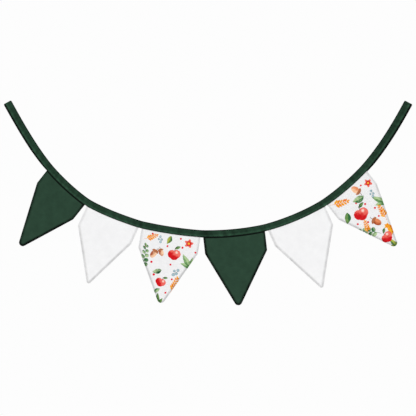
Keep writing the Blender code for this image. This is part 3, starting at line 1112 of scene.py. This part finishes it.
appleForm = {
    "body": ((-6.6, 0.6, 12.6), (6.6, 0.6, 12.6), (0, -3.6, 13.4)),  # round spots: x, y, radius
    "shadeWay": (-0.7, -0.8),  # light comes from the upper right
    "shade": (-9.0, 10.0, 0.95),
    "rim": 2.2,
    "shineSpot": (7.5, 5.5, 4.2),
    "shine": (-1.5, 3.0, 0.75),
    "dipSpot": (0.4, 12.4, 3.4),  # the hollow round the stalk
    "dipEdge": 2.5,
    "leafFoot": (2.6, 15.0, 24),  # x, y, slope in degrees
    "leaf": (19.0, 9.0, 1.4),  # length, width, bend
    "stalk": (0.9, 9.5, 20.0),
    "lean": 0.16,
}


def drawApple(x, y, given):
    form = appleForm
    body = spotDepth(x, y, form["body"])
    wayX, wayY = form["shadeWay"]
    shade = shaded(x * wayX + y * wayY, *form["shade"]) + pooled(body, form["rim"])
    shine = spotDepth(x, y, [form["shineSpot"]])
    dip = spotDepth(x, y, [form["dipSpot"]])
    along, across = slanted(x, y, *form["leafFoot"])
    return [
        (washed(given, shade), inside(body)),
        (inks["cream"], shaded(shine, *form["shine"])),
        (given["Deep"], inside(dip, form["dipEdge"]) * inside(body)),
        leafLayer(given, along, across, *form["leaf"], pale=inks["moss"], deep=inks["pine"]),
        stalk(inks["bark"], x - y * form["lean"], y, *form["stalk"]),
    ]


acornForm = {
    # ovals: height of the middle, half the width, half the height, and how deep the middle counts
    "nut": (-3.0, 7.6, 11.5, 4.5),
    "cup": (3.6, 9.4, 6.4, 4.0),
    "cupFoot": 2.4,
    "shade": (5.0, -6.0, 0.7),
    "rim": 1.2,
    "scales": 1.7,  # how fine the cup's scales are
    "scaleTones": (-0.5, 0.7),  # where they are dark, and where they are light
    "stalk": (0.9, 6.0, 15.5),
    "lean": 0.12,
}


def drawAcorn(x, y, given):
    form = acornForm
    nut = ovalDepth(x, y, *form["nut"])
    shade = shaded(x, *form["shade"]) + pooled(nut, form["rim"])
    cup = least(ovalDepth(x, y, *form["cup"]), y - form["cupFoot"])
    cross = calc("SINE", (x + y) * form["scales"]) * calc("SINE", (x - y) * form["scales"])
    scales = mixColour(step(cross, *form["scaleTones"]), inks["bark"], inks["apricot"])
    return [
        (washed(given, shade), inside(nut)),
        stalk(inks["bark"], x - y * form["lean"], y, *form["stalk"]),
        (scales, inside(cup)),
    ]


berriesForm = {
    # round spots: x, y, radius
    "berrySpots": ((-7, -5, 4.4), (1.5, -3, 3.9), (6.4, 6, 4.2), (-3.4, 4.8, 3.6)),
    "shineSpots": ((-8.2, -3.8, 1.1), (0.4, -1.6, 1.0), (5.0, 7.4, 1.1), (-4.4, 6, 1.0)),
    "shine": (0.0, 0.5, 0.75),
    "rim": (2.6, 0.7),
    "stalk": (0.6, -9.0, 9.0),
    "lean": 0.6,
}


def drawBerries(x, y, given):
    form = berriesForm
    body = spotDepth(x, y, form["berrySpots"])
    return [
        stalk(inks["fern"], y - x * form["lean"], x, *form["stalk"]),
        (washed(given, pooled(body, *form["rim"])), inside(body)),
        (inks["paper"], shaded(spotDepth(x, y, form["shineSpots"]), *form["shine"])),
    ]


flowerForm = {
    "petals": 5,
    "petalReach": 10.0,  # from the middle, on average
    "petalNotch": 2.4,  # how much farther a petal's tip lies, and how much nearer the notches
    "heart": 3.2,
    "shade": (10.0, 3.0, 0.8),
    "rim": 1.4,
}


def drawFlower(x, y, given):
    form = flowerForm
    radius = vectorCalc("LENGTH", {0: combine(x, y)}, "Value")
    wave = calc("COSINE", calc("ARCTAN2", y, x) * form["petals"])
    depth = wave * form["petalNotch"] + form["petalReach"] - radius
    shade = shaded(radius, *form["shade"]) + pooled(depth, form["rim"])
    return [
        (washed(given, shade), inside(depth)),
        (inks["honey"], inside(form["heart"] - radius)),
    ]


# Two parts of the printed cloth, in millimetres: x to the right and y up from the middle of the
# panel's top. Each row: motif, place, turn in degrees, size, pale ink, deep ink. Dots: x, y, radius.
printParts = {
    "first": {
        "motifs": (
            ("spray", (74, -92), 128, 1.0, "sage", "leaf"),
            ("roundSprig", (-68, -112), 74, 1.0, "sage", "fern"),
            ("spray", (-4, -206), 100, 0.72, "moss", "pine"),
            ("amberSprig", (26, -160), 68, 1.1, "honey", "amber"),
            ("amberSprig", (-66, -26), 20, 0.9, "honey", "amber"),
            ("leaf", (-10, -106), 200, 0.9, "sage", "pine"),
            ("leaf", (2, -8), 250, 0.85, "lime", "fern"),
            ("leaf", (-22, -172), 40, 0.7, "sage", "fern"),
            ("flower", (54, -22), 10, 1.05, "coral", "red"),
            ("acorn", (-38, -62), -28, 1.1, "peach", "rust"),
            ("acorn", (-20, -56), 30, 0.9, "peach", "rust"),
            ("berries", (30, -108), 12, 1.05, "mist", "slate"),
            ("berries", (-26, -22), 60, 0.85, "mist", "slate"),
            ("apple", (18, -58), 8, 0.95, "coral", "red"),
            ("apple", (-8, -140), -14, 0.78, "coral", "red"),
        ),
        "dots": (
            (-50, -10, 3.3), (-4, -38, 3.2), (38, -36, 3.3), (-42, -88, 3.4), (46, -82, 3.0),
            (-30, -122, 3.4), (12, -88, 3.2), (22, -128, 3.0), (-36, -152, 3.2), (10, -168, 3.1),
            (30, -12, 3.0), (-64, -46, 3.2), (-80, -76, 3.0), (76, -44, 3.2),
        ),
    },
    "second": {
        "motifs": (
            ("spray", (62, -104), 118, 1.0, "sage", "leaf"),
            ("roundSprig", (-12, -152), 128, 1.0, "sage", "fern"),
            ("spray", (6, -224), 96, 0.85, "lime", "fern"),
            ("leaf", (22, -46), 168, 1.2, "sage", "fern"),
            ("leaf", (-44, -52), 230, 1.1, "moss", "fern"),
            ("leaf", (24, -150), 250, 1.1, "honey", "amber"),
            ("amberSprig", (-60, -10), -32, 1.2, "honey", "amber"),
            ("amberSprig", (30, -132), 74, 1.05, "honey", "amber"),
            ("flower", (54, -26), 20, 1.0, "coral", "red"),
            ("flower", (18, -152), 40, 0.7, "honey", "amber"),
            ("acorn", (2, -122), 24, 1.2, "apricot", "rust"),
            ("acorn", (16, -22), -160, 1.2, "peach", "apricot"),
            ("amberSprig", (-34, -132), 60, 0.9, "honey", "amber"),
            ("berries", (44, -56), 30, 0.9, "mist", "slate"),
            ("apple", (-16, -80), -10, 1.12, "coral", "red"),
            ("apple", (-2, -176), 14, 0.9, "coral", "red"),
        ),
        "dots": (
            (-26, -22, 3.2), (-8, -48, 3.0), (10, -66, 3.3), (24, -92, 3.2), (-42, -96, 3.3),
            (18, -116, 3.0), (-16, -110, 3.2), (34, -110, 3.0), (22, -172, 3.0), (-2, -198, 3.0),
            (34, -18, 3.0),
        ),
    },
}

printMotifs = {
    "leaf": motifGroup("printLeaf", drawLeaf),
    "spray": motifGroup("printSpray", drawSpray),
    "roundSprig": motifGroup("printRoundSprig", sprigDraw(
        pitch=12.5, length=15.0, width=12.0, lean=58, cells=5, roundness=1.0)),
    "amberSprig": motifGroup("printAmberSprig", sprigDraw(
        pitch=6.4, length=12.5, width=6.6, lean=50, cells=5, roundness=0.5)),
    "apple": motifGroup("printApple", drawApple),
    "acorn": motifGroup("printAcorn", drawAcorn),
    "berries": motifGroup("printBerries", drawBerries),
    "flower": motifGroup("printFlower", drawFlower),
}


def orchardPrintGroup(name, part):
    tree, given, made = newGroup(name, (("Vector", "vector"),), (("Colour", "colour"),))
    cloth = vectorCalc("SCALE", {0: given["Vector"], "Scale": 1 / mm})
    strays = []
    for spot in (cloth, vectorCalc("ADD", {0: cloth, 1: paint["wobbleAside"]})):
        stray = cloudy(spot, scale=paint["wobbleScale"], detail=2.0)
        strays.append(stray * (2 * paint["wobble"]) - paint["wobble"])
    right, up = separate(vectorCalc("ADD", {0: cloth, 1: combine(*strays)}))
    wash = cloudy(cloth, scale=paint["washScale"], detail=4.0, roughness=0.6)
    dotted = mixColour(wash, inks["rose"], inks["red"])
    colour = mixColour(inside(spotDepth(right, up, part["dots"])), inks["paper"], dotted)
    for motif, at, turn, size, pale, deep in part["motifs"]:
        colour = useGroup(tree, printMotifs[motif], {
            "Right": right, "Up": up, "Ground": colour, "Place Right": at[0], "Place Up": at[1],
            "Turn": math.radians(turn), "Size": size, "Pale": inks[pale], "Deep": inks[deep],
            "Wash": wash,
        })["Colour"]
    feed(made["Colour"], colour)
    return tree


weaveGroup = plainWeaveGroup()
toneGroup = clothToneGroup()
cottons = {name: clothMaterial(name, weaveGroup, toneGroup) for name in ("tape", "green", "white")}
for part in printParts:
    printed = orchardPrintGroup(part + "Print", printParts[part])
    cottons[part] = clothMaterial("printed", weaveGroup, toneGroup, printed)
thread = threadMaterial()
print("materials made:", ", ".join(cottons))

tape = makeTape(cottons["tape"])
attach(tape, "root")
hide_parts("binding_tape")
for label, side in (("Front", front), ("Back", back)):
    row = makeStitches("tapeStitches" + label, side, thread)
    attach(row, "root")

for number, cut in enumerate(pennantCuts, start=1):
    frontCloth, backCloth = cut.get("parts", (cut["cloth"], cut["cloth"]))
    for label, side, cloth in (("front", front, frontCloth), ("back", back, backCloth)):
        panel, flat = makePanel(number, cut, side, cottons[cloth])
        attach(panel, "root")
        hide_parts(f"pennant_{number}_{label}")
    print("pennant", number, cut["cloth"], len(panel.data.polygons), "faces a panel")


# Camera, light and floor.

studio = {
    "centre": (0.5518, 0.0, -0.3017),  # the middle of the photo, on the bunting's plane
    "viewWidth": 1.1648,  # what the photo's 416 pixels span there
    "distance": 6.5,
    "sensor": 36.0,  # mm
    "clipEnd": 100.0,
    "backdrop": 0.982,  # what the camera sees behind the bunting
    "ambient": 0.27,
    "lampDistance": 3.0,
    "floorDrop": 0.95,
    "floorHalf": 2.6,
    "floorColour": (0.85, 0.85, 0.84, 1.0),
}

# name, place from the centre, spread in degrees, strength
lamps = (
    ("keyLight", (-0.25, -1.0, 0.85), 28.0, 2.04),
    ("frontFill", (0.5, -1.0, 0.0), 60.0, 0.34),
    ("backFill", (0.2, 1.0, 0.6), 50.0, 1.9),
)


centre = Vector(studio["centre"])
view = bpy.data.cameras.new("camera")
view.sensor_width = studio["sensor"]
view.lens = studio["sensor"] * studio["distance"] / studio["viewWidth"]
view.clip_end = studio["clipEnd"]
camera = addObject("camera", view, centre + Vector((0.0, -studio["distance"], 0.0)))
camera.rotation_euler = (math.pi / 2, 0.0, 0.0)
bpy.context.scene.camera = camera

for name, offset, spread, strength in lamps:
    lamp = bpy.data.lights.new(name, "SUN")
    lamp.angle = math.radians(spread)
    lamp.energy = strength
    holder = addObject(name, lamp, centre + Vector(offset) * studio["lampDistance"])
    holder.rotation_euler = (-Vector(offset)).to_track_quat("-Z", "Y").to_euler()

world = bpy.data.worlds.new("studio")
world.use_nodes = True
bpy.context.scene.world = world
sky = world.node_tree
seen = sky.nodes["Background"]
seen.inputs["Color"].default_value = (studio["backdrop"],) * 3 + (1.0,)
ambient = {"Color": (1.0, 1.0, 1.0, 1.0), "Strength": studio["ambient"]}
around = wireFrom(sky, "ShaderNodeBackground", ambient)
cameraRay = wireFrom(sky, "ShaderNodeLightPath", output="Is Camera Ray")
chosen = wireFrom(sky, "ShaderNodeMixShader", {0: cameraRay, 1: around, 2: Wire(sky, seen.outputs[0])})
feed(sky.nodes["World Output"].inputs["Surface"], chosen)
bpy.context.scene.view_settings.view_transform = "Standard"

floorMesh = bpy.data.meshes.new("floor")
reach = studio["floorHalf"]
corners = ((-reach, -reach, 0.0), (reach, -reach, 0.0), (reach, reach, 0.0), (-reach, reach, 0.0))
floorMesh.from_pydata(corners, [], [(0, 1, 2, 3)])
floor = addObject("floor", floorMesh, (centre.x, 0.0, centre.z - studio["floorDrop"]))
pale, paleShader = newMaterial("paleFloor", roughness=0.9)
feed(paleShader["Base Color"], studio["floorColour"])
floorMesh.materials.append(pale)
print("studio set")
